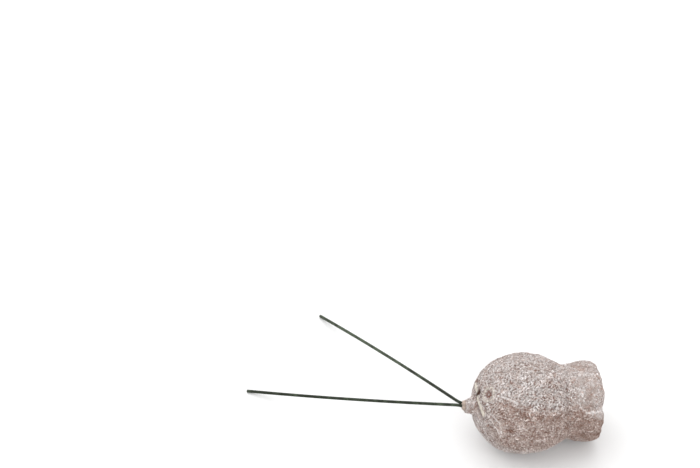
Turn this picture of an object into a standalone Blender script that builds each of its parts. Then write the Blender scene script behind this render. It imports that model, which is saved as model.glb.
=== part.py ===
"""A dried gum nut held on a folded florist's wire, lying on a level surface.

The nut is an urn of thick wood: a stalk, a round belly, a neck, and a flared mouth that opens
through a ring of valves into the seed chamber. Its axis runs along X with the mouth at +X.
The origin is under the belly, on the small flat spot that the nut rests on.
"""

import math

import bmesh
import bpy
from mathutils import Matrix, Vector, noise
from mathutils.geometry import interpolate_bezier

MM = 0.001

# Driving sizes of the nut, as distances along its axis from the stalk's tip, and radii
STALK_LENGTH = 2.6 * MM
STALK_RADIUS = 2.2 * MM
STALK_LEAN_ANGLE = math.radians(315)
STALK_LEAN = 0.25 * MM
BELLY_AT = 17.3 * MM
BELLY_RADIUS = 14.9 * MM
NECK_AT = 31.0 * MM
NECK_RADIUS = 11.45 * MM
FLARE_AT = 36.0 * MM
FLARE_RADIUS = 12.0 * MM
MOUTH_AT = 40.25 * MM
LIP_RADIUS = 9.6 * MM
THROAT_AT = 24.0 * MM
THROAT_RADIUS = 4.5 * MM
CHAMBER_AT = 16.8 * MM
CHAMBER_RADIUS = 9.1 * MM
CHAMBER_FLOOR = 9.2 * MM

# How it lies: on a small flat spot under the belly, its mouth drooping, propped by the wire's ends
DROOP = math.radians(6.0)
BELLY_HEIGHT = 15.0 * MM

# Wire, folded in half, with its fold in a hole drilled up the stalk
WIRE_RADIUS = 0.45 * MM
LEG_SPACING = 1.0 * MM
BORE_RADIUS = 1.42 * MM
BORE_DEPTH = 6.6 * MM
FOLD_DEPTH = 5.6 * MM
BEND_OUTSIDE = 0.75 * MM
BEND_SHIFT = Vector((-0.35, 0.35, 0)) * MM
BEND_REACH = 1.8 * MM
LOWER_LEG_END = Vector((-76.5, 32.2, 0.46)) * MM
UPPER_LEG_END = Vector((-50.0, 61.0, 0.46)) * MM
LOWER_LEG_SAG = 0.55 * MM
UPPER_LEG_SAG = -0.7 * MM

# Glue at the mouth of the drilled hole
GLUE_CLEARANCE = 0.08 * MM
PLUG_RADIUS = 1.3 * MM
PLUG_DEPTH = 1.4 * MM
BEAD_FOOT = 0.1 * MM
BEAD_HEIGHT = 0.4 * MM

# Fineness of the meshes
TURN_STEPS = 64
OUTSIDE_STEP = 1.35 * MM
INSIDE_STEP = 2.6 * MM
GLUE_STEPS = 24

# Around the axis, an angle of 0 faces down, 90 degrees faces +Y and 180 degrees faces up
RIB_COUNT = 3
RIB_ANGLE = math.radians(228)
RIB_HEIGHT = 0.32 * MM
LUMP_SIZE = 9.0 * MM
LUMP_HEIGHT = 0.55 * MM
WRINKLE_SIZE = 3.1 * MM
WRINKLE_HEIGHT = 0.5 * MM
CREASE_AT = NECK_AT - 1.0 * MM
CREASE_WIDTH = 0.9 * MM
CREASE_DEPTH = 0.35 * MM
CREASE_DIP_ANGLE = math.radians(222)
CREASE_DIP_SPREAD = math.radians(28)
CREASE_DIP = 2.0 * MM
RIM_LEAN_ANGLE = math.radians(280)
RIM_LEAN = 0.25 * MM
RIM_WAVE_COUNT = 2
RIM_WAVE_ANGLE = math.radians(145)
RIM_WAVE = 0.3 * MM
NOTCH_ANGLE = math.radians(239)
NOTCH_WIDTH = math.radians(9)
NOTCH_DEPTH = 0.7 * MM
RIM_NOTCH = 0.45 * MM
SCAR_LINE_ANGLE = math.radians(195)
SCAR_LINE_SPREAD = math.radians(42)
SCAR_LINE_AT = 3.8 * MM
SCAR_LINE_WIDTH = 0.75 * MM
SCAR_LINE_HEIGHT = 0.45 * MM
PIT_ANGLE = math.radians(193)
PIT_AT = 3.7 * MM
PIT_RADIUS = 0.9 * MM
PIT_DEPTH = 0.6 * MM
SCAR_ANGLE = math.radians(206)
SCAR_AT = 5.7 * MM
SCAR_RADIUS = 1.3 * MM
SCAR_DEPTH = 0.4 * MM
VALVE_COUNT = 4
VALVE_HEIGHT = 0.55 * MM
VALVE_SPREAD = 2.2 * MM
STREAK_COUNT = 11
STREAK_HEIGHT = 0.22 * MM


def clear_scene():
    for obj in list(bpy.data.objects):
        bpy.data.objects.remove(obj, do_unlink=True)


def new_collection(name):
    collection = bpy.data.collections.new(name)
    bpy.context.scene.collection.children.link(collection)
    return collection


def make_material(name, color, roughness):
    material = bpy.data.materials.new(name)
    material.use_nodes = True
    shader = material.node_tree.nodes["Principled BSDF"]
    shader.inputs["Base Color"].default_value = (*color, 1)
    shader.inputs["Roughness"].default_value = roughness
    shader.inputs["Metallic"].default_value = 0.0
    return material


def nut_matrix():
    """Places the nut's own frame, with its axis up Z from the stalk's tip, in the part's frame."""
    turned = Matrix.Rotation(math.pi / 2 + DROOP, 4, "Y")
    lifted = Matrix.Translation((0, 0, BELLY_HEIGHT))
    return lifted @ turned @ Matrix.Translation((0, 0, -BELLY_AT))


def inside_outline():
    """(distance, radius) from the middle of the chamber's floor, through the valves, to the lip."""
    return [
        (CHAMBER_FLOOR, 0),
        (CHAMBER_FLOOR + 0.3 * MM, 0.35 * CHAMBER_RADIUS),
        (CHAMBER_FLOOR + 1.6 * MM, 0.65 * CHAMBER_RADIUS),
        (CHAMBER_AT - 3.4 * MM, 0.9 * CHAMBER_RADIUS),
        (CHAMBER_AT, CHAMBER_RADIUS),
        (CHAMBER_AT + 3.6 * MM, 0.88 * CHAMBER_RADIUS),
        (THROAT_AT - 1.2 * MM, THROAT_RADIUS + 1.3 * MM),
        (THROAT_AT, THROAT_RADIUS),
        (THROAT_AT + 1.2 * MM, THROAT_RADIUS + 0.5 * MM),
        (THROAT_AT + 3.0 * MM, THROAT_RADIUS + 1.8 * MM),
        (NECK_AT, NECK_RADIUS - 3.9 * MM),
        (FLARE_AT - 1.4 * MM, FLARE_RADIUS - 3.4 * MM),
        (MOUTH_AT - 2.7 * MM, LIP_RADIUS - 0.6 * MM),
        (MOUTH_AT - 1.5 * MM, LIP_RADIUS - 1.05 * MM),
        (MOUTH_AT - 0.4 * MM, LIP_RADIUS - 0.75 * MM),
    ]


def outside_outline():
    """(distance, radius) from the lip down the outside to the stalk's tip."""
    return [
        (MOUTH_AT, LIP_RADIUS),
        (MOUTH_AT - 0.2 * MM, LIP_RADIUS + 0.9 * MM),
        (MOUTH_AT - 1.1 * MM, FLARE_RADIUS - 0.5 * MM),
        (MOUTH_AT - 2.6 * MM, FLARE_RADIUS - 0.05 * MM),
        (FLARE_AT, FLARE_RADIUS),
        (FLARE_AT - 2.6 * MM, FLARE_RADIUS - 0.3 * MM),
        (NECK_AT, NECK_RADIUS),
        (NECK_AT - 2.4 * MM, NECK_RADIUS + 0.6 * MM),
        (BELLY_AT + 7.2 * MM, 0.925 * BELLY_RADIUS),
        (BELLY_AT + 3.7 * MM, 0.98 * BELLY_RADIUS),
        (BELLY_AT, BELLY_RADIUS),
        (BELLY_AT - 5.3 * MM, 0.918 * BELLY_RADIUS),
        (BELLY_AT - 8.3 * MM, 0.827 * BELLY_RADIUS),
        (BELLY_AT - 10.8 * MM, 0.683 * BELLY_RADIUS),
        (BELLY_AT - 12.8 * MM, 0.513 * BELLY_RADIUS),
        (STALK_LENGTH + 0.8 * MM, 0.347 * BELLY_RADIUS),
        (STALK_LENGTH + 0.3 * MM, STALK_RADIUS + 1.0 * MM),
        (STALK_LENGTH - 0.4 * MM, STALK_RADIUS + 0.2 * MM),
        (0.45 * STALK_LENGTH, STALK_RADIUS),
        (0.14 * STALK_LENGTH, STALK_RADIUS - 0.35 * MM),
        (0, BORE_RADIUS),
    ]


def bore_outline():
    return [(BORE_DEPTH, BORE_RADIUS), (BORE_DEPTH + 0.5 * BORE_RADIUS, 0)]


def on_plane(outline):
    """Outline points in the XZ plane, with the distance up Z."""
    return [Vector((radius, 0, distance)) for distance, radius in outline]


def smooth_line(points, steps):
    """A smooth line through the points, in even parts of about the step given for each stretch."""
    ends = [2 * points[0] - points[1], *points, 2 * points[-1] - points[-2]]
    line = [points[0]]
    for before, start, end, after, step in zip(ends, ends[1:], ends[2:], ends[3:], steps):
        parts = max(1, round((end - start).length / step))
        leaving, arriving = start + (end - before) / 6, end - (after - start) / 6
        line += interpolate_bezier(start, leaving, arriving, end, parts + 1)[1:]
    return line


def profile_mesh(name, points, outside=None):
    """An open chain of edges through the points. The outside attribute, if given, marks each one."""
    mesh = bpy.data.meshes.new(name)
    edges = [(i, i + 1) for i in range(len(points) - 1)]
    mesh.from_pydata(points, edges, [])
    if outside:
        marks = mesh.attributes.new("outside", "FLOAT", "POINT")
        marks.data.foreach_set("value", outside)
    return mesh


def turned_mesh(profile, steps):
    """The profile's mesh turned round Z, as a new mesh."""
    turning = bpy.data.objects.new(profile.name, profile)
    bpy.context.scene.collection.objects.link(turning)
    screw = turning.modifiers.new("Turn", "SCREW")
    screw.steps = screw.render_steps = steps
    screw.use_merge_vertices = True
    screw.merge_threshold = 1e-5
    screw.use_normal_calculate = True
    bpy.context.view_layer.update()
    evaluated = turning.evaluated_get(bpy.context.evaluated_depsgraph_get())
    mesh = bpy.data.meshes.new_from_object(evaluated)
    bpy.data.objects.remove(turning)
    return mesh


def bump(offset, width):
    """A smooth bump of height 1, about the width given to each side."""
    return math.exp(-((offset / width) ** 2))


def ramp(value, start, end):
    """0 before the start, 1 past the end, and smooth between."""
    share = min(1, max(0, (value - start) / (end - start)))
    return share * share * (3 - 2 * share)


def turn_between(angle, other):
    """The shorter way round from one angle to another, in radians."""
    return math.remainder(angle - other, math.tau)


def spot(radius, distance, angle, spot_at, spot_angle):
    """How far along the surface a point lies from a spot on the nut."""
    across = radius * turn_between(angle, spot_angle)
    return math.hypot(across, distance - spot_at)


def wrinkle(place):
    """Uneven lengthwise folds that run into each other, from 0 in a valley to 1 on a crest."""
    folds = Vector((place.x, place.y, 0.6 * place.z)) / WRINKLE_SIZE
    swirl = noise.noise_vector(folds * 0.5) * 0.7
    return 1 - min(1, 2.2 * abs(noise.noise(folds + swirl)))


def outside_relief(place, radius, angle):
    """Height of the grown surface above the plain outline."""
    distance = place.z
    on_body = ramp(distance, STALK_LENGTH, STALK_LENGTH + 6 * MM)
    height = on_body * RIB_HEIGHT * math.cos(RIB_COUNT * (angle - RIB_ANGLE))
    on_stalk = 1 - ramp(distance, 0.5 * STALK_LENGTH, 1.15 * STALK_LENGTH)
    height += on_stalk * STALK_LEAN * math.cos(angle - STALK_LEAN_ANGLE)
    height += LUMP_HEIGHT * on_body * noise.noise(place / LUMP_SIZE)
    height += WRINKLE_HEIGHT * ramp(distance, 0, 3 * STALK_LENGTH) * (wrinkle(place) - 0.65)

    crease_at = CREASE_AT - CREASE_DIP * bump(turn_between(angle, CREASE_DIP_ANGLE), CREASE_DIP_SPREAD)
    height -= CREASE_DEPTH * bump(distance - crease_at, CREASE_WIDTH)
    fold = bump(turn_between(angle, NOTCH_ANGLE), NOTCH_WIDTH)
    height -= NOTCH_DEPTH * fold * ramp(distance, NECK_AT, MOUTH_AT)

    scar_line = bump(distance - SCAR_LINE_AT, SCAR_LINE_WIDTH)
    scar_line *= bump(turn_between(angle, SCAR_LINE_ANGLE), SCAR_LINE_SPREAD)
    height += SCAR_LINE_HEIGHT * scar_line
    height -= PIT_DEPTH * bump(spot(radius, distance, angle, PIT_AT, PIT_ANGLE), PIT_RADIUS)
    height -= SCAR_DEPTH * bump(spot(radius, distance, angle, SCAR_AT, SCAR_ANGLE), SCAR_RADIUS)
    return height


def inside_relief(place, angle):
    """Height of the inner wood: valves that stand into the throat, and streaks along the funnel."""
    distance = place.z
    at_throat = bump(distance - THROAT_AT, VALVE_SPREAD)
    height = VALVE_HEIGHT * at_throat * math.cos(VALVE_COUNT * angle)
    in_funnel = ramp(distance, THROAT_AT, NECK_AT) * ramp(-distance, -MOUTH_AT, -FLARE_AT)
    height += STREAK_HEIGHT * in_funnel * math.sin(STREAK_COUNT * angle + 2 * math.sin(angle))
    return height


def rim_shift(distance, angle):
    """How much farther along the axis the leaning, waved rim carries a point near the mouth."""
    leaning = RIM_LEAN * math.cos(angle - RIM_LEAN_ANGLE)
    wave = RIM_WAVE * math.cos(RIM_WAVE_COUNT * (angle - RIM_WAVE_ANGLE))
    notch = RIM_NOTCH * bump(turn_between(angle, NOTCH_ANGLE), NOTCH_WIDTH)
    return (leaning + wave - notch) * ramp(distance, FLARE_AT, MOUTH_AT)


def grow_relief(mesh):
    """Moves each point of the turned nut along its normal by the relief at its place."""
    work = bmesh.new()
    work.from_mesh(mesh)
    bmesh.ops.recalc_face_normals(work, faces=work.faces)
    work.normal_update()
    outside = work.verts.layers.float["outside"]
    moves = []
    for vert in work.verts:
        angle = math.atan2(vert.co.y, vert.co.x)
        radius = math.hypot(vert.co.x, vert.co.y)
        share = vert[outside]
        height = share * outside_relief(vert.co, radius, angle)
        if radius > BORE_RADIUS and vert.co.z > CHAMBER_FLOOR:
            height += (1 - share) * inside_relief(vert.co, angle)
        shift = Vector((0, 0, rim_shift(vert.co.z, angle)))
        moves.append(vert.normal * height + shift)
    for vert, move in zip(work.verts, moves):
        vert.co += move
    work.to_mesh(mesh)
    work.free()


def make_nut(parts, cutters, material):
    inside, outside = on_plane(inside_outline()), on_plane(outside_outline())
    steps = [INSIDE_STEP] * len(inside) + [OUTSIDE_STEP] * len(outside)
    line = smooth_line(inside + outside, steps)
    lip = min(range(len(line)), key=lambda i: (line[i] - outside[0]).length)
    bore = on_plane(bore_outline())
    marks = [0.0] * lip + [0.5] + [1.0] * (len(line) - lip - 2) + [0.0] * (1 + len(bore))
    mesh = turned_mesh(profile_mesh("gum_nut", line + bore, marks), TURN_STEPS)
    grow_relief(mesh)
    mesh.materials.clear()
    mesh.materials.append(material)
    mesh.shade_smooth()
    nut = bpy.data.objects.new("gum_nut", mesh)
    nut.matrix_world = nut_matrix()
    parts.objects.link(nut)
    cut = nut.modifiers.new("Flat spot", "BOOLEAN")
    cut.object = make_ground_cutter(cutters)
    cut.operation = "DIFFERENCE"
    cut.solver = "EXACT"
    return nut


def make_ground_cutter(cutters):
    """A block whose top is the surface that the nut lies on."""
    mesh = bpy.data.meshes.new("ground_cutter")
    work = bmesh.new()
    bmesh.ops.create_cube(work, size=1)
    size = (4 * BELLY_RADIUS, 4 * BELLY_RADIUS, BELLY_RADIUS)
    bmesh.ops.scale(work, vec=size, verts=work.verts)
    bmesh.ops.translate(work, vec=(0, 0, -BELLY_RADIUS / 2), verts=work.verts)
    work.to_mesh(mesh)
    work.free()
    cutter = bpy.data.objects.new("ground_cutter", mesh)
    cutter.hide_render = True
    cutter.display_type = "WIRE"
    cutters.objects.link(cutter)
    return cutter


def leg_line(side, leg_end, sag):
    """One leg from inside the hole, round its bend at the stalk's tip, to its free end."""
    place = nut_matrix()
    across = side * LEG_SPACING / 2
    start = place @ Vector((0, across, BEND_OUTSIDE))
    corner = place @ (Vector((0, across, -BEND_OUTSIDE)) + BEND_SHIFT)
    bent = corner + (leg_end - corner).normalized() * BEND_REACH
    bend = interpolate_bezier(start, start.lerp(corner, 0.6), bent.lerp(corner, 0.6), bent, 7)
    middle = bent.lerp(leg_end, 0.5) - Vector((0, 0, 2 * sag))
    free = interpolate_bezier(bent, bent.lerp(middle, 2 / 3), leg_end.lerp(middle, 2 / 3), leg_end, 9)
    return bend + free[1:]


def wire_line():
    """The wire's centre line: up one leg, round the fold inside the stalk, down the other."""
    place = nut_matrix()
    bend_radius = LEG_SPACING / 2
    straight = FOLD_DEPTH - bend_radius
    fold = []
    for i in range(9):
        angle = math.pi * i / 8
        across = -bend_radius * math.cos(angle)
        fold.append(place @ Vector((0, across, straight + bend_radius * math.sin(angle))))
    lower = leg_line(-1, LOWER_LEG_END, LOWER_LEG_SAG)
    upper = leg_line(1, UPPER_LEG_END, UPPER_LEG_SAG)
    return lower[::-1] + fold + upper


def wire_mesh(name, radius):
    """The wire as a closed mesh of the given radius."""
    curve = bpy.data.curves.new(name, "CURVE")
    curve.dimensions = "3D"
    curve.bevel_depth = radius
    curve.bevel_resolution = 2
    curve.use_fill_caps = True
    line = wire_line()
    spline = curve.splines.new("POLY")
    spline.points.add(len(line) - 1)
    for point, place in zip(spline.points, line):
        point.co = (*place, 1)
    drawn = bpy.data.objects.new(name, curve)
    bpy.context.scene.collection.objects.link(drawn)
    bpy.context.view_layer.update()
    evaluated = drawn.evaluated_get(bpy.context.evaluated_depsgraph_get())
    mesh = bpy.data.meshes.new_from_object(evaluated)
    bpy.data.objects.remove(drawn)
    work = bmesh.new()
    work.from_mesh(mesh)
    bmesh.ops.remove_doubles(work, verts=work.verts, dist=1e-6)
    work.to_mesh(mesh)
    work.free()
    return mesh


def make_wire(parts, material):
    mesh = wire_mesh("floral_wire", WIRE_RADIUS)
    mesh.materials.append(material)
    mesh.shade_smooth()
    mesh.set_sharp_from_angle(angle=math.radians(50))
    wire = bpy.data.objects.new("floral_wire", mesh)
    parts.objects.link(wire)
    return wire


def make_glue(parts, cutters, material):
    """A plug in the mouth of the drilled hole, which rises in a low bead round the wire."""
    outline = [
        (PLUG_DEPTH, 0),
        (PLUG_DEPTH, PLUG_RADIUS),
        (BEAD_FOOT, PLUG_RADIUS),
        (BEAD_FOOT - 0.4 * BEAD_HEIGHT, 0.85 * PLUG_RADIUS),
        (BEAD_FOOT - 0.8 * BEAD_HEIGHT, 0.5 * PLUG_RADIUS),
        (BEAD_FOOT - BEAD_HEIGHT, 0),
    ]
    mesh = turned_mesh(profile_mesh("glue_bead", on_plane(outline)), GLUE_STEPS)
    mesh.materials.append(material)
    mesh.shade_smooth()
    glue = bpy.data.objects.new("glue_bead", mesh)
    glue.matrix_world = nut_matrix()
    parts.objects.link(glue)
    channel_mesh = wire_mesh("wire_channel", WIRE_RADIUS + GLUE_CLEARANCE)
    channel = bpy.data.objects.new("wire_channel", channel_mesh)
    channel.hide_render = True
    channel.display_type = "WIRE"
    cutters.objects.link(channel)
    cut = glue.modifiers.new("Wire channel", "BOOLEAN")
    cut.object = channel
    cut.operation = "DIFFERENCE"
    cut.solver = "EXACT"
    cut.use_self = True
    return glue


def main():
    clear_scene()
    parts = new_collection("dried_gum_nut")
    cutters = new_collection("cutters")
    make_nut(parts, cutters, make_material("woody nut", (0.45, 0.38, 0.35), 0.85))
    make_wire(parts, make_material("green wire", (0.05, 0.07, 0.045), 0.45))
    make_glue(parts, cutters, make_material("amber glue", (0.34, 0.27, 0.20), 0.4))


if __name__ == "__main__":
    main()
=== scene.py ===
import math

import bmesh
import bpy
import numpy
from bpy.props import FloatProperty, FloatVectorProperty, IntProperty, PointerProperty
from bpy.types import Operator, Panel, PropertyGroup
from mathutils import Matrix, Vector, noise
from mathutils.bvhtree import BVHTree


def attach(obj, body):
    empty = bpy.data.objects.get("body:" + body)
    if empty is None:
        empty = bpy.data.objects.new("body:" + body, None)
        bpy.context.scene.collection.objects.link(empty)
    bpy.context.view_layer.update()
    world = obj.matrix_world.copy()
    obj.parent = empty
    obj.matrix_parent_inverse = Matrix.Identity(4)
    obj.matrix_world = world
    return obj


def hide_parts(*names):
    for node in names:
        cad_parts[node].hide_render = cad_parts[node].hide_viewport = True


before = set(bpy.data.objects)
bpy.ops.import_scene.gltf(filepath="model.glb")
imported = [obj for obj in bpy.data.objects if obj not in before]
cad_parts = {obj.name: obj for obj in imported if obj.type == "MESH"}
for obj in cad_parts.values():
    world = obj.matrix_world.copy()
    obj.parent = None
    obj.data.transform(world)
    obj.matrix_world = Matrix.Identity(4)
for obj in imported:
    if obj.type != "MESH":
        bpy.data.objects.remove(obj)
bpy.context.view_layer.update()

bl_info = {
    "name": "Dried Gum Nut",
    "version": (1, 0, 0),
    "blender": (4, 5, 0),
    "location": "3D View > Sidebar > Gum Nut",
    "description": "Dresses a dried gum nut on its folded florist's wire, on a plain studio stage",
    "category": "Object",
}

MM = 0.001
PHOTO_WIDTH = 700
SENSOR_WIDTH = 36.0
NEAR_CLIP = 0.01

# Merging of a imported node's triangles
MERGE_GAP = 0.001 * MM
QUAD_FACE_ANGLE = math.radians(40)
QUAD_SHAPE_ANGLE = math.radians(50)

# The nut's own frame: its axis runs up Z from the stalk's tip to the mouth
BELLY_AT = 17.3 * MM
BELLY_HEIGHT = 15.0 * MM
DROOP = math.radians(6.0)
STALK_LENGTH = 2.6 * MM
STALK_TO_NUT = (0.6 * STALK_LENGTH, 2 * STALK_LENGTH)
# From the neck into the throat, where the painted shade inside the mouth deepens
NECK_TO_THROAT = (31.0 * MM, 24.0 * MM)

# Rays: from how far they are cast onto the skin, and how far off a wall they start
REACH = 25.0 * MM
WALL_CLEARANCE = 0.25 * MM
ON_AXIS = 0.001 * MM

# Passes that refine the outer skin, as (longest edge left whole, cuts in longer ones)
SKIN_CUTS = ((0.40 * MM, 2), (0.27 * MM, 1))

# The fine crease between belly and flare, which dips towards the stalk on one side
CREASE_AT = 30.0 * MM
CREASE_WIDTH = 0.38 * MM
CREASE_LEAST = 0.45
CREASE_DIP = 2.0 * MM
CREASE_DIP_ANGLE = math.radians(222)
CREASE_DIP_SPREAD = math.radians(28)

# Zones of the skin along the axis, from where a zone has no share to where it has all
FLARE_START = (29 * MM, 32 * MM)
FLARE_COLOR_START = (29 * MM, 33 * MM)
BAND_START, BAND_END = (6 * MM, 12 * MM), (31 * MM, 26 * MM)
BROWN_START = (4 * MM, 9 * MM)
ZONE_UNEVEN, ZONE_GRAIN = 1.2 * MM, 3.5 * MM
# Border between whiter band and brown zone, in degrees round the axis, and how far it turns on the way
BORDER = 215
BORDER_TURNS = ((18, (7 * MM, 17 * MM)), (20, (31 * MM, 39 * MM)))
# Sides of the band and of the brown zone, in degrees from the border
BAND_SIDES = ((-50, -25), (4, -6))
BROWN_SIDE = (-8, 12)
# Where the brown zone ends, in degrees, with how much later and stronger it is on the flare, where the extra
# brown is painted shade on the flare's lower side
BROWN_LAST, BROWN_FADE = 310, (0, -25)
BROWN_SHADE_LATER_ON_FLARE, BROWN_SHADE_MORE_ON_FLARE = 30, 0.12

# Marks on the skin, as (distance from the stalk's tip in mm, angle round the axis in degrees)
SCAR_LINE = ((3.8, 138), (3.5, 160), (3.3, 180), (3.3, 204), (3.5, 222), (3.8, 233), (4.3, 247))
PIT = ((3.35, 187), (3.8, 186))
ROUND_SCAR = (5.7, 205.5)
WHITE_STREAKS = (
    ((7.6, 213), (9.3, 217), (11.9, 223), (14.0, 229)),
    ((5.6, 247), (6.6, 257), (8.2, 270), (10.7, 290)),
    ((6.4, 243), (8.4, 255), (9.2, 272)),
    ((31.4, 230), (34.0, 243), (35.5, 241), (39.2, 256)),
)
RUSTY_PATCHES = (
    (1.6, 268, 0.5), (34.0, 170, 0.9), (34.5, 284, 0.7), (36.5, 256, 0.9), (8.6, 236, 1.6),
    (14.5, 238, 1.5), (19.0, 241, 1.6), (22.5, 200, 1.1), (24.5, 206, 0.8), (11.5, 262, 1.3),
)
MARK_UNEVEN, MARK_GRAIN = 0.3 * MM, 1.3 * MM
# Widths of marks, and heights of the bumps that are cut off at 1 for a full middle
CREAM_WIDTH, CREAM_FULLNESS = 0.42 * MM, 2
PIT_WIDTH, PIT_FULLNESS = 0.42 * MM, 1.5
# Distances from the middle of the mark, and widths
SHADE_AT, SHADE_WIDTH = 1.4 * MM, 0.6 * MM
SCAR_AT, SCAR_WIDTH = 0.65 * MM, 0.6 * MM
RING_AT, RING_WIDTH, RING_SHARE = 1.95 * MM, 0.4 * MM, 0.6
STREAK_WIDTH = 0.30 * MM
STREAK_GAPS, STREAK_GAP_RANGE = 1.1 * MM, (-0.25, 0.2)

# Waves that make the worm-like wrinkles: their number, spread of lengths and height
WAVES = 60
WAVE_SPREAD = (0.75, 1.3)
WAVE_HEIGHT = 0.24
WRINKLE_SEED, FOLD_SEED = 5, 9
# Seed of the noise that makes places uneven, and grain of the patchiness
WOBBLE_SEED = 3
PATCH_GRAIN = 2.6 * MM

# What the zones and marks of the skin add to its layers, each after its plain value
WRINKLE_CONTRAST = (0.4, {"on_nut": 0.3, "band": 0.45, "flared": -0.15})
GAIN = (1.45, {"patchy": 0.35, "band": 0.4, "brown": -0.5, "flared": -0.6, "brown_flare": 0.4})
WASH = (0.0, {
    "band": 0.07, "brown": -0.21, "streak": 0.8, "rusty": -0.2, "shade": -0.3, "patchy": 0.2,
    "flared": -0.07})
FOLD_CONTRAST, STREAK_CREST = 0.25, 0.35
# Share of the pit's dark brown laid into the crease by the flare as painted shade
CREASE_PAINTED_SHADE = 0.18
RUST_OF_PATCH, RUST_OF_BROWN, RUST_LOST_IN_STREAK = 0.8, 0.5, 0.8

# Shares of the wrinkle depth and of the fold depth that are carved
WRINKLE_SHARE = (0.25, {"on_nut": 0.4, "band": 0.35})
FOLD_SHARE = (0.3, {"on_nut": 0.7})
HOLLOW_SHARE = (0.0, {"crease": 0.7, "pit": 0.4, "scar": 0.5})

# Sockets of a Mix node for colours: factor, first and second colour, and the result
MIX_INPUTS, MIX_OUTPUT = (0, 6, 7), 2

# Noise of the materials
WIDE_LINES = {"size": 1.0 * MM, "level": 0.5, "width": 0.07}
NARROW_LINES = {"size": 0.72 * MM, "level": 0.54, "width": 0.05}
NARROW_LINE_SHARE = 0.8
LINE_DISTORTION = 1.1
GRAIN = {"size": 0.42 * MM, "detail": 2.0, "roughness": 0.6}
PATCHES = {"size": 4.0 * MM, "detail": 3.0}
WARMTH = {"size": 2.6 * MM, "detail": 4.0, "distortion": 0.5}
FUNNEL_STREAKS = {"size": 1.1 * MM, "detail": 4.0}
STREAK_STRETCH = (0.16, 1, 1)
RUBBED = {"size": 3.2 * MM, "detail": 5.0, "roughness": 0.65}
RIPPLE = {"size": 0.5 * MM, "detail": 2.0}
CLOUD = {"size": 0.8 * MM, "detail": 3.0}
FLOOR_MOTTLE = {"size": 120 * MM, "detail": 2.0}

# Weights of the skin's height, which is about AVERAGE_HEIGHT on the average, and of its tone
HEIGHT_START, CREST_WEIGHT, LINES_WEIGHT, GRAIN_WEIGHT = -0.67, 0.5, 0.9, 1.3
AVERAGE_HEIGHT = 0.5
TONE_START, PATCHES_WEIGHT = 0.53, 0.3
RUBBED_LEG_WEIGHT = 0.15

# Ranges that are mapped from low to high, onto the last two where there are four
BARE_RANGE, PAINT_RANGE = (0.0, 0.5), (0.5, 1.0)
RUST_RANGE = (0.50, 0.72, 0.0, 0.6)
RUST_UNDER_PAINT = (0.3, 0.9, 1.0, 0.5)
CREAM_RANGE = (0.2, 0.6, 0.75, 1.0)
STAIN_RANGE = (0.3, 0.8, 1.0, 0.6)
FUNNEL_RANGE = (0.42, 0.66)
RUBBED_RANGE = (0.45, 0.75)
CLOUD_RANGE = (0.35, 0.65)
PALE_STREAK, DARK_CLOUD, FLOOR_SHADE = 1.75, 0.6, 0.99

WIRE_ENDS = ((-76.5 * MM, 32.2 * MM, 0.46 * MM), (-50.0 * MM, 61.0 * MM, 0.46 * MM))
# Cut ends: what counts as one, loops that hold its edge, and what is trimmed
END_REACH = 0.6 * MM
END_LOOPS = (0.16 * MM, 0.4 * MM, 1.5 * MM)
END_TRIM = 0.06 * MM
END_SQUARENESS = 0.9
END_RIM = 0.07 * MM
LEG_DIVIDE = (-0.1, 0.1)
GLUE_SPREAD = 0.26 * MM
GLUE_UNEVEN, GLUE_GRAIN = 0.12 * MM, 0.9 * MM

# Lights of the studio, in metres
KEY_PLACE, KEY_SIZE = (-0.25, 0.4, 0.9), 1.8
FILL_PLACE, FILL_SIZE = (0.35, -0.75, 0.55), 0.6


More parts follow.
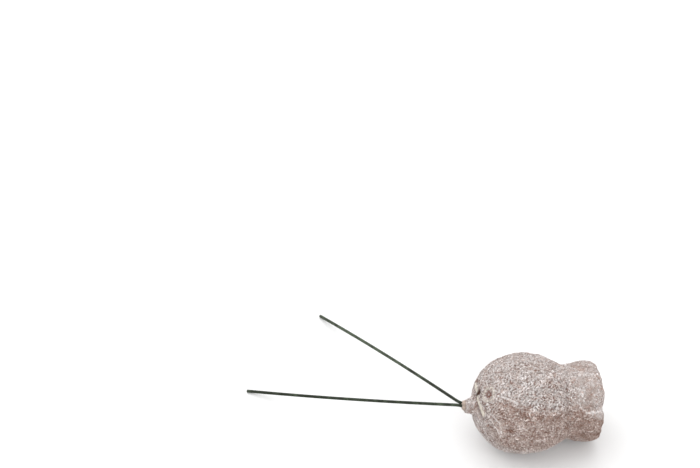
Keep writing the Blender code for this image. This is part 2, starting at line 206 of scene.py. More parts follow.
class NutSettings(PropertyGroup):
    """Sizes and colours of the nut's wood."""

    wrinkle_size: FloatProperty(
        name="Wrinkle Size", description="Spacing of the fine worm-like wrinkles",
        default=0.82 * MM, min=0.2 * MM, max=5 * MM, subtype="DISTANCE", precision=5)
    wrinkle_depth: FloatProperty(
        name="Wrinkle Depth", description="Depth of the furrows between the fine wrinkles",
        default=0.3 * MM, min=0, max=1 * MM, subtype="DISTANCE", precision=5)
    fold_size: FloatProperty(
        name="Fold Size", description="Spacing of the broader folds under the wrinkles",
        default=2.6 * MM, min=0.5 * MM, max=10 * MM, subtype="DISTANCE", precision=5)
    fold_depth: FloatProperty(
        name="Fold Depth", description="Depth of the furrows between the broader folds",
        default=0.14 * MM, min=0, max=1 * MM, subtype="DISTANCE", precision=5)
    line_height: FloatProperty(
        name="Line Height", description="Height of the cream line by the stalk above the skin",
        default=0.12 * MM, min=0, max=1 * MM, subtype="DISTANCE", precision=5)
    # Dark brown of the pit; the crease by the flare gets the same brown as painted shade
    pit_color_and_crease_shade: FloatVectorProperty(
        name="Pit Colour", description="Dark brown of the pit and of the crease by the flare",
        default=(0.085, 0.042, 0.028), size=3, min=0, max=1, subtype="COLOR")
    # Bare wood, deepened by painted shade in the furrows
    furrow_wood_and_shade_color: FloatVectorProperty(
        name="Furrow Colour", description="Bare wood in the furrows",
        default=(0.195, 0.122, 0.099), size=3, min=0, max=1, subtype="COLOR")
    wood_color: FloatVectorProperty(
        name="Wood Colour", description="Weathered wood between furrow and crest",
        default=(0.56, 0.455, 0.415), size=3, min=0, max=1, subtype="COLOR")
    rust_color: FloatVectorProperty(
        name="Rust Tint", description="Tint of the warmer brown patches",
        default=(0.83, 0.63, 0.535), size=3, min=0, max=1, subtype="COLOR")
    wash_color: FloatVectorProperty(
        name="Whitewash Colour", description="Thin white paint that stays on the crests",
        default=(0.95, 0.888, 0.87), size=3, min=0, max=1, subtype="COLOR")
    stain_color: FloatVectorProperty(
        name="Scar Colour", description="Reddish brown of the round scar",
        default=(0.24, 0.11, 0.08), size=3, min=0, max=1, subtype="COLOR")
    cream_color: FloatVectorProperty(
        name="Scar Line Colour", description="Cream of the raised line by the stalk",
        default=(0.97, 0.90, 0.79), size=3, min=0, max=1, subtype="COLOR")
    funnel_color: FloatVectorProperty(
        name="Funnel Colour", description="Grey-brown wood inside the mouth",
        default=(0.31, 0.25, 0.21), size=3, min=0, max=1, subtype="COLOR")
    # Painted shade, dark and reddish, deep in the mouth behind the valves
    chamber_shade_color: FloatVectorProperty(
        name="Chamber Colour", description="Dark reddish wood behind the valves",
        default=(0.075, 0.04, 0.03), size=3, min=0, max=1, subtype="COLOR")


class WireSettings(PropertyGroup):
    """Finish of the florist's wire and of the glue that holds it."""

    lacquer_color: FloatVectorProperty(
        name="Lacquer Colour", description="Dark green of the wire's lacquer",
        default=(0.015, 0.020, 0.011), size=3, min=0, max=1, subtype="COLOR")
    worn_color: FloatVectorProperty(
        name="Rubbed Colour", description="Greyer green where the lacquer is rubbed",
        default=(0.067, 0.087, 0.057), size=3, min=0, max=1, subtype="COLOR")
    steel_color: FloatVectorProperty(
        name="Steel Colour", description="Bare steel on the cut ends",
        default=(0.42, 0.41, 0.39), size=3, min=0, max=1, subtype="COLOR")
    glue_color: FloatVectorProperty(
        name="Glue Colour", description="Dusty, cloudy amber of the set glue",
        default=(0.46, 0.36, 0.30), size=3, min=0, max=1, subtype="COLOR")
    smoothing: IntProperty(
        name="Smoothing", description="Levels of subdivision on the wire",
        default=2, min=0, max=3)
    swelling: FloatProperty(
        name="Swelling", description="What the smoothing takes off the wire's radius, put back on",
        default=0.045 * MM, min=0, max=1 * MM, subtype="DISTANCE", precision=5)


class StageSettings(PropertyGroup):
    """Floor, light and camera of the plain studio."""

    azimuth: FloatProperty(
        name="Azimuth", description="Camera's turn round the nut, 0 looks along +Y",
        default=math.radians(-9.1), subtype="ANGLE")
    elevation: FloatProperty(
        name="Elevation", description="Camera's height above the horizon",
        default=math.radians(42), subtype="ANGLE")
    distance: FloatProperty(
        name="Distance", description="From the camera to the point that it looks at",
        default=0.9, min=0.1, max=5, subtype="DISTANCE")
    pixel: FloatProperty(
        name="Pixel", description="Size that one pixel of the frame covers at the nut",
        default=0.2915 * MM, min=0.01 * MM, subtype="DISTANCE", precision=7)
    aim: FloatVectorProperty(
        name="Aim", description="Point that the camera looks at",
        default=(-43.99 * MM, 40.51 * MM, 51.7 * MM), size=3, subtype="XYZ", precision=5)
    floor_size: FloatProperty(
        name="Floor Size", description="Length of the floor's side",
        default=6.0, min=1, subtype="DISTANCE")
    floor_color: FloatVectorProperty(
        name="Floor Colour", description="Pale floor",
        default=(0.80, 0.80, 0.80), size=3, min=0, max=1, subtype="COLOR")
    sky_strength: FloatProperty(
        name="Sky Strength", description="Even light from all sides", default=1.0, min=0)
    key_power: FloatProperty(
        name="Key Power", description="Soft light from above and behind", default=9.5, min=0, unit="POWER")
    fill_power: FloatProperty(
        name="Fill Power", description="Weak light from beside the camera", default=2.5, min=0, unit="POWER")


def nut_matrix():
    """Places the nut's own frame in the part's frame."""
    turned = Matrix.Rotation(math.pi / 2 + DROOP, 4, "Y")
    lifted = Matrix.Translation((0, 0, BELLY_HEIGHT))
    return lifted @ turned @ Matrix.Translation((0, 0, -BELLY_AT))


def bump(offset, width):
    """A smooth bump of height 1, about the width given to each side."""
    return numpy.exp(-((offset / width) ** 2))


def ramp(value, start, end):
    """0 before the start, 1 past the end, and smooth between. The end may be the lower one."""
    share = numpy.clip((value - start) / (end - start), 0, 1)
    return share * share * (3 - 2 * share)


def layered(recipe, shares):
    """The recipe's plain value plus each of its weights times the share of that name."""
    plain, weights = recipe
    return plain + sum(weight * shares[name] for name, weight in weights.items())


def merged_copy(node):
    """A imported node's loose triangles as one closed surface, mostly of four-sided faces."""
    work = bmesh.new()
    work.from_mesh(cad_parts[node].data)
    bmesh.ops.remove_doubles(work, verts=work.verts, dist=MERGE_GAP)
    bmesh.ops.join_triangles(
        work, faces=work.faces,
        angle_face_threshold=QUAD_FACE_ANGLE, angle_shape_threshold=QUAD_SHAPE_ANGLE)
    return work


def new_piece(name, work):
    """Makes a linked object of the bmesh, which it frees."""
    mesh = bpy.data.meshes.new(name)
    work.to_mesh(mesh)
    work.free()
    piece = bpy.data.objects.new(name, mesh)
    bpy.context.scene.collection.objects.link(piece)
    return piece


def subdivide_smoothly(piece, levels):
    """Applies a Subdivision Surface to the piece."""
    smooth = piece.modifiers.new("Smooth", "SUBSURF")
    smooth.levels = smooth.render_levels = levels
    bpy.context.view_layer.update()
    evaluated = piece.evaluated_get(bpy.context.evaluated_depsgraph_get())
    mesh = bpy.data.meshes.new_from_object(evaluated)
    mesh.name = piece.name
    piece.modifiers.clear()
    piece.data = mesh


def swell(mesh, amount):
    """Moves the whole surface out along its normals by the amount."""
    normals = [normal.vector.copy() for normal in mesh.vertex_normals]
    for vert, normal in zip(mesh.vertices, normals):
        vert.co += amount * normal


def finish_piece(piece, material, node):
    """Gives the piece its material, hangs it under the root body and hides the imported node it stands for.
    """
    piece.data.materials.clear()
    piece.data.materials.append(material)
    piece.data.shade_smooth()
    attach(piece, "root")
    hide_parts(node)


def new_shader(name):
    """A material with its node tree and its Principled shader."""
    material = bpy.data.materials.new(name)
    material.use_nodes = True
    tree = material.node_tree
    return material, tree, tree.nodes["Principled BSDF"]


def set_surface(tree, shader, color, roughness, specular):
    """Gives the shader its colour socket, its roughness and its share of specular light."""
    tree.links.new(color, shader.inputs["Base Color"])
    shader.inputs["Roughness"].default_value = roughness
    shader.inputs["Specular IOR Level"].default_value = specular


def object_place(tree):
    """The socket of object coordinates."""
    return tree.nodes.new("ShaderNodeTexCoord").outputs["Object"]


def noise_value(tree, place, size, detail=3.0, roughness=0.55, distortion=0.0):
    """Noise whose grain is about the size given."""
    texture = tree.nodes.new("ShaderNodeTexNoise")
    texture.inputs["Scale"].default_value = 1 / size
    texture.inputs["Detail"].default_value = detail
    texture.inputs["Roughness"].default_value = roughness
    texture.inputs["Distortion"].default_value = distortion
    tree.links.new(place, texture.inputs["Vector"])
    return texture.outputs["Fac"]


def attribute_value(tree, name):
    """The socket of a float attribute of the mesh."""
    reader = tree.nodes.new("ShaderNodeAttribute")
    reader.attribute_name = name
    return reader.outputs["Fac"]


def math_value(tree, operation, first, second=0.5):
    """One step of arithmetic on sockets or numbers."""
    step = tree.nodes.new("ShaderNodeMath")
    step.operation = operation
    for socket, value in zip(step.inputs, (first, second)):
        if isinstance(value, (int, float)):
            socket.default_value = value
        else:
            tree.links.new(value, socket)
    return step.outputs["Value"]


def weighted_sum(tree, start, *terms):
    """The start value plus each term's weight times its socket."""
    total = start
    for weight, value in terms:
        total = math_value(tree, "ADD", math_value(tree, "MULTIPLY", value, weight), total)
    return total


def spread_value(tree, value, low, high, to_low=0.0, to_high=1.0, kind="SMOOTHSTEP"):
    """Maps the range from low to high onto another range, smoothly unless told otherwise."""
    mapping = tree.nodes.new("ShaderNodeMapRange")
    mapping.interpolation_type = kind
    mapping.inputs["From Min"].default_value = low
    mapping.inputs["From Max"].default_value = high
    mapping.inputs["To Min"].default_value = to_low
    mapping.inputs["To Max"].default_value = to_high
    tree.links.new(value, mapping.inputs["Value"])
    return mapping.outputs["Result"]


def mixed_color(tree, share, first, second, blend="MIX"):
    """Mixes two colours, each a socket or an RGB value, by the share."""
    mix = tree.nodes.new("ShaderNodeMix")
    mix.data_type = "RGBA"
    mix.blend_type = blend
    factor, first_in, second_in = (mix.inputs[number] for number in MIX_INPUTS)
    for socket, value in ((factor, share), (first_in, first), (second_in, second)):
        if isinstance(value, bpy.types.NodeSocket):
            tree.links.new(value, socket)
        elif isinstance(value, (int, float)):
            socket.default_value = value
        else:
            socket.default_value = (*value, 1)
    return mix.outputs[MIX_OUTPUT]


def add_bump(tree, shader, height, strength, distance):
    """Fine relief of the shading."""
    relief = tree.nodes.new("ShaderNodeBump")
    relief.inputs["Strength"].default_value = strength
    relief.inputs["Distance"].default_value = distance
    tree.links.new(height, relief.inputs["Height"])
    tree.links.new(relief.outputs["Normal"], shader.inputs["Normal"])


def curled_lines(tree, place, size, level, width):
    """Thin lines that curl and join, where noise crosses the level: 1 on a line and 0 away from it."""
    value = noise_value(tree, place, size, detail=1.0, distortion=LINE_DISTORTION)
    away = math_value(tree, "ABSOLUTE", math_value(tree, "SUBTRACT", value, level))
    return spread_value(tree, away, 0.0, width, 1.0, 0.0)


def skin_height(tree, place):
    """Crests and furrows of the mesh, with finer curled ridges and grain."""
    wide = curled_lines(tree, place, **WIDE_LINES)
    narrow = curled_lines(tree, place, **NARROW_LINES)
    ridges = math_value(tree, "MAXIMUM", wide, math_value(tree, "MULTIPLY", narrow, NARROW_LINE_SHARE))
    return weighted_sum(
        tree, HEIGHT_START, (CREST_WEIGHT, attribute_value(tree, "crest")),
        (LINES_WEIGHT, ridges), (GRAIN_WEIGHT, noise_value(tree, place, **GRAIN)))


def outside_color(tree, place, height, settings):
    """Wood that is darker in the furrows and keeps thin white paint on the crests; the dark furrows are
    partly painted shade, and the white on the crest lines is partly a painted highlight.
    """
    patches = noise_value(tree, place, **PATCHES)
    warm = noise_value(tree, place, **WARMTH)

    relief = math_value(tree, "SUBTRACT", height, AVERAGE_HEIGHT)
    relief = math_value(tree, "MULTIPLY", relief, attribute_value(tree, "gain"))
    wash = attribute_value(tree, "wash")
    tone = weighted_sum(tree, TONE_START, (1.0, relief), (PATCHES_WEIGHT, patches), (1.0, wash))
    # Low places turn to the furrow's wood and painted shade
    bare = spread_value(tree, tone, *BARE_RANGE, kind="LINEAR")
    # Whitewash on the crests, partly a painted highlight on their lit edges
    wash_and_highlight = spread_value(tree, tone, *PAINT_RANGE, kind="LINEAR")
    rust = spread_value(tree, warm, *RUST_RANGE)
    rust = math_value(tree, "MAXIMUM", rust, attribute_value(tree, "rust"))
    rust = math_value(tree, "MULTIPLY", rust, spread_value(tree, wash_and_highlight, *RUST_UNDER_PAINT))

    color = mixed_color(tree, bare, settings.furrow_wood_and_shade_color, settings.wood_color)
    color = mixed_color(tree, wash_and_highlight, color, settings.wash_color)
    color = mixed_color(tree, rust, color, settings.rust_color, "MULTIPLY")
    for name, spread, mark_color in (
        ("cream", CREAM_RANGE, settings.cream_color),
        ("scar", STAIN_RANGE, settings.stain_color),
    ):
        share = math_value(
            tree, "MULTIPLY", attribute_value(tree, name), spread_value(tree, height, *spread))
        color = mixed_color(tree, share, color, mark_color)
    # The pit gets its dark brown, and the crease gets painted shade in the same brown
    return mixed_color(tree, attribute_value(tree, "dark"), color, settings.pit_color_and_crease_shade)


def funnel_streaks(tree, place):
    """Streaks that run lengthwise along the nut."""
    stretched = tree.nodes.new("ShaderNodeMapping")
    stretched.inputs["Scale"].default_value = STREAK_STRETCH
    tree.links.new(place, stretched.inputs["Vector"])
    return noise_value(tree, stretched.outputs["Vector"], **FUNNEL_STREAKS)


def inside_color(tree, streaks, settings):
    """Grey-brown streaked funnel, with painted shade, dark and reddish, that deepens behind the valves."""
    pale = [PALE_STREAK * channel for channel in settings.funnel_color]
    funnel = mixed_color(tree, spread_value(tree, streaks, *FUNNEL_RANGE), settings.funnel_color, pale)
    # Deeper in, the funnel turns into painted shade
    return mixed_color(tree, attribute_value(tree, "depth"), funnel, settings.chamber_shade_color)


def wood_material(settings):
    """Dry wood: whitewashed outside, bare inside, with painted shade that darkens it deeper in."""
    material, tree, shader = new_shader("whitewashed_wood")
    place = object_place(tree)
    height, streaks = skin_height(tree, place), funnel_streaks(tree, place)
    inside = attribute_value(tree, "inside")
    color = mixed_color(
        tree, inside, outside_color(tree, place, height, settings), inside_color(tree, streaks, settings))
    set_surface(tree, shader, color, roughness=0.88, specular=0.22)
    relief = mixed_color(tree, inside, height, streaks)
    add_bump(tree, shader, relief, strength=1.0, distance=0.4 * MM)
    return material


def lacquer_material(settings):
    """Satin green lacquer, rubbed in places, with bare steel on the cut ends."""
    material, tree, shader = new_shader("green_lacquer")
    place = object_place(tree)
    rubbed = weighted_sum(
        tree, 0.0, (1.0, noise_value(tree, place, **RUBBED)),
        (RUBBED_LEG_WEIGHT, attribute_value(tree, "rubbed")))
    rubbed = spread_value(tree, rubbed, *RUBBED_RANGE)
    color = mixed_color(tree, rubbed, settings.lacquer_color, settings.worn_color)
    cut = attribute_value(tree, "cut")
    color = mixed_color(tree, cut, color, settings.steel_color)
    set_surface(tree, shader, color, roughness=0.5, specular=0.18)
    tree.links.new(cut, shader.inputs["Metallic"])
    ripple = noise_value(tree, place, **RIPPLE)
    add_bump(tree, shader, ripple, strength=0.3, distance=0.03 * MM)
    return material


def glue_material(settings):
    """Cloudy set glue, dusty on its outside."""
    material, tree, shader = new_shader("set_glue")
    cloud = spread_value(tree, noise_value(tree, object_place(tree), **CLOUD), *CLOUD_RANGE)
    dark = [DARK_CLOUD * channel for channel in settings.glue_color]
    color = mixed_color(tree, cloud, dark, settings.glue_color)
    set_surface(tree, shader, color, roughness=0.4, specular=0.5)
    return material


def floor_material(settings):
    """Pale, matt, very slightly mottled."""
    material, tree, shader = new_shader("pale_floor")
    shade = [FLOOR_SHADE * channel for channel in settings.floor_color]
    mottled = noise_value(tree, object_place(tree), **FLOOR_MOTTLE)
    color = mixed_color(tree, mottled, settings.floor_color, shade)
    set_surface(tree, shader, color, roughness=0.9, specular=0.1)
    return material


def mark_inside(work, own_frame):
    """Writes 1 on points of the hollows, which look outwards onto the nut's own wall.

    Returns the tree of the nut's faces, for more rays.
    """
    tree = BVHTree.FromBMesh(work)
    inside = work.verts.layers.float.new("inside")
    axis = (own_frame.to_3x3() @ Vector((0, 0, 1))).normalized()
    back = own_frame.inverted()
    for vert in work.verts:
        own = back @ vert.co
        outwards = own_frame.to_3x3() @ Vector((own.x, own.y, 0))
        if outwards.length < ON_AXIS:
            outwards = axis
        outwards.normalize()
        hit = tree.ray_cast(vert.co + WALL_CLEARANCE * outwards, outwards)[0]
        vert[inside] = 1.0 if hit is not None else 0.0
    return tree


def refine_outside(work, longest, cuts):
    """Cuts the long edges of the outer skin, so that it can carry the fine wrinkles."""
    inside = work.verts.layers.float["inside"]
    edges = [
        edge for edge in work.edges
        if edge.calc_length() > longest and max(vert[inside] for vert in edge.verts) < 0.5
    ]
    bmesh.ops.subdivide_edges(work, edges=edges, cuts=cuts, use_grid_fill=True)


def wandering_waves(places, size, seed):
    """Waves of about one length that run every way: their sum has crests that wander like worms."""
    chance = numpy.random.default_rng(seed)
    ways = chance.normal(size=(WAVES, 3))
    ways /= numpy.linalg.norm(ways, axis=1, keepdims=True)
    ways *= math.tau / size / chance.uniform(*WAVE_SPREAD, (WAVES, 1))
    starts = chance.uniform(0, math.tau, WAVES)
    waves = numpy.cos(places @ ways.T + starts).sum(axis=1) / math.sqrt(WAVES / 2)
    return ramp(0.5 + WAVE_HEIGHT * waves, 0, 1)


def wobble(places, size):
    """A noise vector at each place, with grain of about the size given, the same in each run."""
    noise.seed_set(WOBBLE_SEED)
    return numpy.array([noise.noise_vector(place) for place in places / size])


def mottle(places, size):
    """A noise value at each place, with grain of about the size given."""
    return numpy.array([noise.noise(place) for place in places / size])


def skin_line(skin, own_frame, line):
    """Points of the outer skin at the marks of a line, in the nut's own frame."""
    points = []
    for distance, degrees in line:
        turn = math.radians(degrees)
        outwards = Vector((math.cos(turn), math.sin(turn), 0))
        start = own_frame @ (REACH * outwards + Vector((0, 0, distance * MM)))
        hit = skin.ray_cast(start, own_frame.to_3x3() @ -outwards)[0]
        points.append(numpy.array(own_frame.inverted() @ hit))
    return points


def line_distance(places, line):
    """How far each place lies from a line through the points given."""
    nearest = numpy.full(len(places), math.inf)
    for start, end in zip(line, line[1:]):
        offset, along = places - start, end - start
        share = numpy.clip(offset @ along / (along @ along), 0, 1)
        nearest = numpy.minimum(nearest, numpy.linalg.norm(offset - numpy.outer(share, along), axis=1))
    return nearest


def marks_on(own, skin, own_frame):
    """Shares of each mark on the outer skin, by name."""
    def away(places, line):
        return line_distance(places, skin_line(skin, own_frame, line))

    def spread(mark):
        return numpy.linalg.norm(uneven - skin_line(skin, own_frame, [mark])[0], axis=1)

    uneven = own + MARK_UNEVEN * wobble(own, MARK_GRAIN)
    from_line, from_scar = away(uneven, SCAR_LINE), spread(ROUND_SCAR)
    cream = numpy.minimum(1, CREAM_FULLNESS * bump(from_line, CREAM_WIDTH))
    ring = RING_SHARE * bump(from_scar - RING_AT, RING_WIDTH)
    streak = numpy.max([bump(away(uneven, line), STREAK_WIDTH) for line in WHITE_STREAKS], axis=0)
    patches = [
        bump(spread((distance, degrees)), radius * MM) for distance, degrees, radius in RUSTY_PATCHES
    ]
    return {
        "cream": numpy.maximum(cream, ring),
        "shade": bump(from_line - SHADE_AT, SHADE_WIDTH),
        "pit": numpy.minimum(1, PIT_FULLNESS * bump(away(uneven, PIT), PIT_WIDTH)),
        "scar": bump(from_scar - SCAR_AT, SCAR_WIDTH),
        "rusty": numpy.max(patches, axis=0),
        "streak": streak * ramp(mottle(own, STREAK_GAPS), *STREAK_GAP_RANGE),
    }


def crease_share(own):
    """1 in the fine crease between belly and flare, deepest where it dips."""
    turn = numpy.arctan2(own[:, 1], own[:, 0]) - CREASE_DIP_ANGLE
    dip = bump((turn + math.pi) % math.tau - math.pi, CREASE_DIP_SPREAD)
    depth = CREASE_LEAST + (1 - CREASE_LEAST) * dip
    return depth * bump(own[:, 2] - CREASE_AT + CREASE_DIP * dip, CREASE_WIDTH)


def band_and_brown(own):
    """Shares of the strongly wrinkled, whiter band, and of the browner zone below it, which on the flare
    reaches further round and is stronger as painted shade on its lower side.
    """
    uneven = own + ZONE_UNEVEN * wobble(own, ZONE_GRAIN)
    turn = numpy.degrees(numpy.arctan2(uneven[:, 1], uneven[:, 0])) % 360
    along = uneven[:, 2]
    border = BORDER + sum(degrees * ramp(along, *stretch) for degrees, stretch in BORDER_TURNS)
    band = ramp(along, *BAND_START) * ramp(along, *BAND_END)
    for side in BAND_SIDES:
        band *= ramp(turn - border, *side)
    flared = ramp(along, *FLARE_COLOR_START)
    # On the flare the brown reaches further round and grows stronger as painted shade on its lower side
    last = BROWN_LAST + BROWN_SHADE_LATER_ON_FLARE * flared
    brown = ramp(along, *BROWN_START) * ramp(turn - border, *BROWN_SIDE) * ramp(turn - last, *BROWN_FADE)
    return band, brown * (1 + BROWN_SHADE_MORE_ON_FLARE * flared)


def read_values(items, key, width=1):
    """One property of all the items of a mesh as an array."""
    values = numpy.empty(len(items) * width)
    items.foreach_get(key, values)
    return values.reshape(-1, width) if width > 1 else values


def skin_shares(own, skin, own_frame):
    """Shares of each zone and mark of the outer skin, by name, at places in the nut's own frame."""
    along = own[:, 2]
    band, brown = band_and_brown(own)
    flared = ramp(along, *FLARE_START)
    return {
        "band": band,
        "brown": brown,
        "flared": flared,
        "brown_flare": brown * flared,
        "on_nut": ramp(along, *STALK_TO_NUT),
        "patchy": mottle(own, PATCH_GRAIN),
        "crease": crease_share(own),
        # How deep a point lies in the mouth, for the painted shade there
        "depth": ramp(along, *NECK_TO_THROAT),
        **marks_on(own, skin, own_frame),
    }


def write_layers(mesh, shares, worm, fold):
    """Writes what the wood's colour needs to know at each point."""
    outside, streak = 1 - shares["inside"], shares["streak"]
    contrast = layered(WRINKLE_CONTRAST, shares) * (1 - streak)
    crest = 0.5 + contrast * (worm - 0.5) + FOLD_CONTRAST * (fold - 0.5) + STREAK_CREST * streak
    rust = numpy.maximum(RUST_OF_PATCH * shares["rusty"], RUST_OF_BROWN * shares["brown"])
    layers = {
        "crest": crest,
        "gain": layered(GAIN, shares),
        "wash": layered(WASH, shares),
        "cream": shares["cream"] * outside,
        # The pit's own dark, and painted shade in the crease
        "dark": numpy.maximum(shares["pit"], CREASE_PAINTED_SHADE * shares["crease"]) * outside,
        "scar": shares["scar"] * outside,
        "rust": rust * (1 - RUST_LOST_IN_STREAK * streak) * outside,
        # How deep in the mouth, for the painted shade there
        "depth": shares["depth"],
    }
    for name, values in layers.items():
        mesh.attributes.new(name, "FLOAT", "POINT").data.foreach_set("value", values)


def wrinkle_skin(mesh, skin, own_frame, settings):
    """Carves the fine wrinkles into the outer skin and writes what its colour needs."""
    places = read_values(mesh.vertices, "co", 3)
    normals = read_values(mesh.vertex_normals, "vector", 3)
    back = own_frame.inverted()
    own = places @ numpy.array(back.to_3x3()).T + numpy.array(back.translation)
    worm = wandering_waves(places, settings.wrinkle_size, WRINKLE_SEED)
    fold = wandering_waves(places, settings.fold_size, FOLD_SEED)
    shares = skin_shares(own, skin, own_frame)
    shares["inside"] = read_values(mesh.attributes["inside"].data, "value")
    write_layers(mesh, shares, worm, fold)

    cream = shares["cream"]
    wrinkled = layered(WRINKLE_SHARE, shares) * (1 - numpy.maximum.reduce((worm, shares["streak"], cream)))
    folded = layered(FOLD_SHARE, shares) * (1 - numpy.maximum(fold, cream))
    depth = settings.wrinkle_depth * (wrinkled + layered(HOLLOW_SHARE, shares))
    depth += settings.fold_depth * folded - settings.line_height * cream
    places -= normals * (depth * (1 - shares["inside"]))[:, None]
    mesh.vertices.foreach_set("co", places.ravel())
    mesh.update()


class GUMNUT_OT_woody_nut(Operator):
    """Grows the nut's wrinkled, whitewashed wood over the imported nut"""

    bl_idname = "gumnut.woody_nut"
    bl_label = "Woody Nut"

    def execute(self, context):
        settings = context.scene.gumnut_nut
        own_frame = nut_matrix()
        nut = new_piece("woody_nut", merged_copy("gum_nut"))
        subdivide_smoothly(nut, 1)
        work = bmesh.new()
        work.from_mesh(nut.data)
        skin = mark_inside(work, own_frame)
        for longest, cuts in SKIN_CUTS:
            refine_outside(work, longest, cuts)
        work.to_mesh(nut.data)
        work.free()
        wrinkle_skin(nut.data, skin, own_frame, settings)
        finish_piece(nut, wood_material(settings), "gum_nut")
        return {"FINISHED"}


def mark_rubbed_leg(work):
    """Writes how near a point is to the leg whose lacquer is rubbed more."""
    rubbed = work.verts.layers.float.new("rubbed")
    lower, upper = (Vector(end) for end in WIRE_ENDS)
    for vert in work.verts:
        vert[rubbed] = ramp(vert.co.angle(lower, 0) - vert.co.angle(upper, 0), *LEG_DIVIDE)


def dress_cut_ends(work):
    """Keeps the wire's snipped ends flat with a small round edge, and marks them as bare."""
    cut = work.verts.layers.float.new("cut")
    for end in WIRE_ENDS:
        outwards = (Vector(end) - Vector((0, 0, end[2]))).normalized()
        for distance in END_LOOPS:
            bmesh.ops.bisect_plane(
                work, geom=[*work.verts, *work.edges, *work.faces],
                plane_co=Vector(end) - distance * outwards, plane_no=outwards)
        caps = [
            face for face in work.faces
            if (face.calc_center_median() - Vector(end)).length < END_REACH
            and face.normal.dot(outwards) > END_SQUARENESS
        ]
        rest = bmesh.ops.dissolve_faces(work, faces=caps)["region"]
        rim = list({vert for face in rest for vert in face.verts})
        bmesh.ops.translate(work, verts=rim, vec=-END_TRIM * outwards)
        bmesh.ops.inset_region(work, faces=rest, thickness=END_RIM, depth=0)
        for vert in {vert for face in rest for vert in face.verts}:
            vert[cut] = 1.0


class GUMNUT_OT_wire(Operator):
    """Rounds and lacquers the folded florist's wire"""

    bl_idname = "gumnut.wire"
    bl_label = "Florist's Wire"

    def execute(self, context):
        settings = context.scene.gumnut_wire
        work = merged_copy("floral_wire")
        dress_cut_ends(work)
        mark_rubbed_leg(work)
        wire = new_piece("lacquered_wire", work)
        subdivide_smoothly(wire, settings.smoothing)
        swell(wire.data, settings.swelling)
        finish_piece(wire, lacquer_material(settings), "floral_wire")
        return {"FINISHED"}


class GUMNUT_OT_glue(Operator):
    """Rounds the set glue at the mouth of the wire's hole"""

    bl_idname = "gumnut.glue"
    bl_label = "Set Glue"

    def execute(self, context):
        settings = context.scene.gumnut_wire
        glue = new_piece("set_glue", merged_copy("glue_bead"))
        subdivide_smoothly(glue, settings.smoothing)
        swell(glue.data, GLUE_SPREAD)
        places = read_values(glue.data.vertices, "co", 3)
        places += GLUE_UNEVEN * wobble(places, GLUE_GRAIN)
        glue.data.vertices.foreach_set("co", places.ravel())
        finish_piece(glue, glue_material(settings), "glue_bead")
        return {"FINISHED"}


def camera_axes(settings):
    """Unit vectors to the camera's right, up and back."""
    turn, rise = settings.azimuth, settings.elevation
    back = Vector((math.sin(turn) * math.cos(rise), -math.cos(turn) * math.cos(rise), math.sin(rise)))
    right = Vector((math.cos(turn), math.sin(turn), 0))
    return right, back.cross(right), back


def aimed_at(location, target):
    """Placement at the location, with -Z pointing at the target."""
    turn = (Vector(location) - Vector(target)).to_track_quat("Z", "Y")
    return Matrix.Translation(location) @ turn.to_matrix().to_4x4()


def add_area_light(name, location, size, power):
    """A soft square light that faces the nut."""
    light = bpy.data.lights.new(name, "AREA")
    light.shape = "SQUARE"
    light.size = size
    light.energy = power
    lamp = bpy.data.objects.new(name, light)
    lamp.matrix_world = aimed_at(location, (0, 0, BELLY_HEIGHT))
    bpy.context.scene.collection.objects.link(lamp)


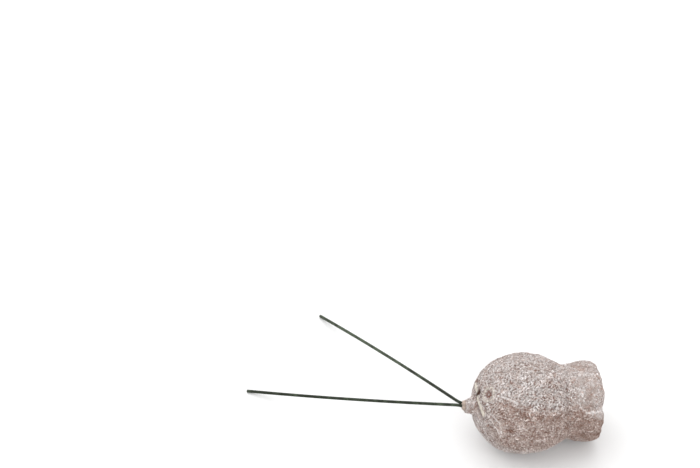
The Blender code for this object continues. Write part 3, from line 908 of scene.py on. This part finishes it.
class GUMNUT_OT_stage(Operator):
    """Sets the pale floor, the soft light and the camera"""

    bl_idname = "gumnut.stage"
    bl_label = "Stage"

    def execute(self, context):
        settings = context.scene.gumnut_stage
        self.add_floor(settings)
        self.add_light(context.scene, settings)
        self.add_camera(context.scene, settings)
        return {"FINISHED"}

    def add_floor(self, settings):
        work = bmesh.new()
        bmesh.ops.create_grid(work, x_segments=1, y_segments=1, size=settings.floor_size / 2)
        floor = new_piece("floor", work)
        floor.data.materials.append(floor_material(settings))

    def add_light(self, scene, settings):
        world = bpy.data.worlds.new("soft_sky")
        world.use_nodes = True
        world.node_tree.nodes["Background"].inputs["Strength"].default_value = settings.sky_strength
        world.node_tree.nodes["Background"].inputs["Color"].default_value = (1, 1, 1, 1)
        scene.world = world
        add_area_light("key", KEY_PLACE, KEY_SIZE, settings.key_power)
        add_area_light("fill", FILL_PLACE, FILL_SIZE, settings.fill_power)

    def add_camera(self, scene, settings):
        right, up, back = camera_axes(settings)
        lens = bpy.data.cameras.new("camera")
        lens.sensor_width = SENSOR_WIDTH
        lens.lens = SENSOR_WIDTH * settings.distance / (PHOTO_WIDTH * settings.pixel)
        lens.clip_start = NEAR_CLIP
        camera = bpy.data.objects.new("camera", lens)
        turn = Matrix((right, up, back)).transposed().to_4x4()
        camera.matrix_world = Matrix.Translation(Vector(settings.aim) + back * settings.distance) @ turn
        scene.collection.objects.link(camera)
        scene.camera = camera
        scene.view_settings.view_transform = "Standard"


class GUMNUT_PT_panel(Panel):
    """Lists the steps that dress the nut"""

    bl_idname = "GUMNUT_PT_panel"
    bl_label = "Gum Nut"
    bl_space_type = "VIEW_3D"
    bl_region_type = "UI"
    bl_category = "Gum Nut"

    def draw(self, context):
        for settings, operators in (
            (context.scene.gumnut_nut, ("gumnut.woody_nut",)),
            (context.scene.gumnut_wire, ("gumnut.wire", "gumnut.glue")),
            (context.scene.gumnut_stage, ("gumnut.stage",)),
        ):
            box = self.layout.box()
            for name in settings.bl_rna.properties.keys():
                if name not in ("rna_type", "name"):
                    box.prop(settings, name)
            for operator in operators:
                box.operator(operator)


CLASSES = (
    NutSettings, WireSettings, StageSettings,
    GUMNUT_OT_woody_nut, GUMNUT_OT_wire, GUMNUT_OT_glue, GUMNUT_OT_stage, GUMNUT_PT_panel,
)
SETTINGS = {"gumnut_nut": NutSettings, "gumnut_wire": WireSettings, "gumnut_stage": StageSettings}


def register():
    for item in CLASSES:
        bpy.utils.register_class(item)
    for name, group in SETTINGS.items():
        setattr(bpy.types.Scene, name, PointerProperty(type=group))


def unregister():
    for name in SETTINGS:
        delattr(bpy.types.Scene, name)
    for item in reversed(CLASSES):
        bpy.utils.unregister_class(item)


def main():
    register()
    bpy.ops.gumnut.woody_nut()
    bpy.ops.gumnut.wire()
    bpy.ops.gumnut.glue()
    bpy.ops.gumnut.stage()


if __name__ == "__main__":
    main()
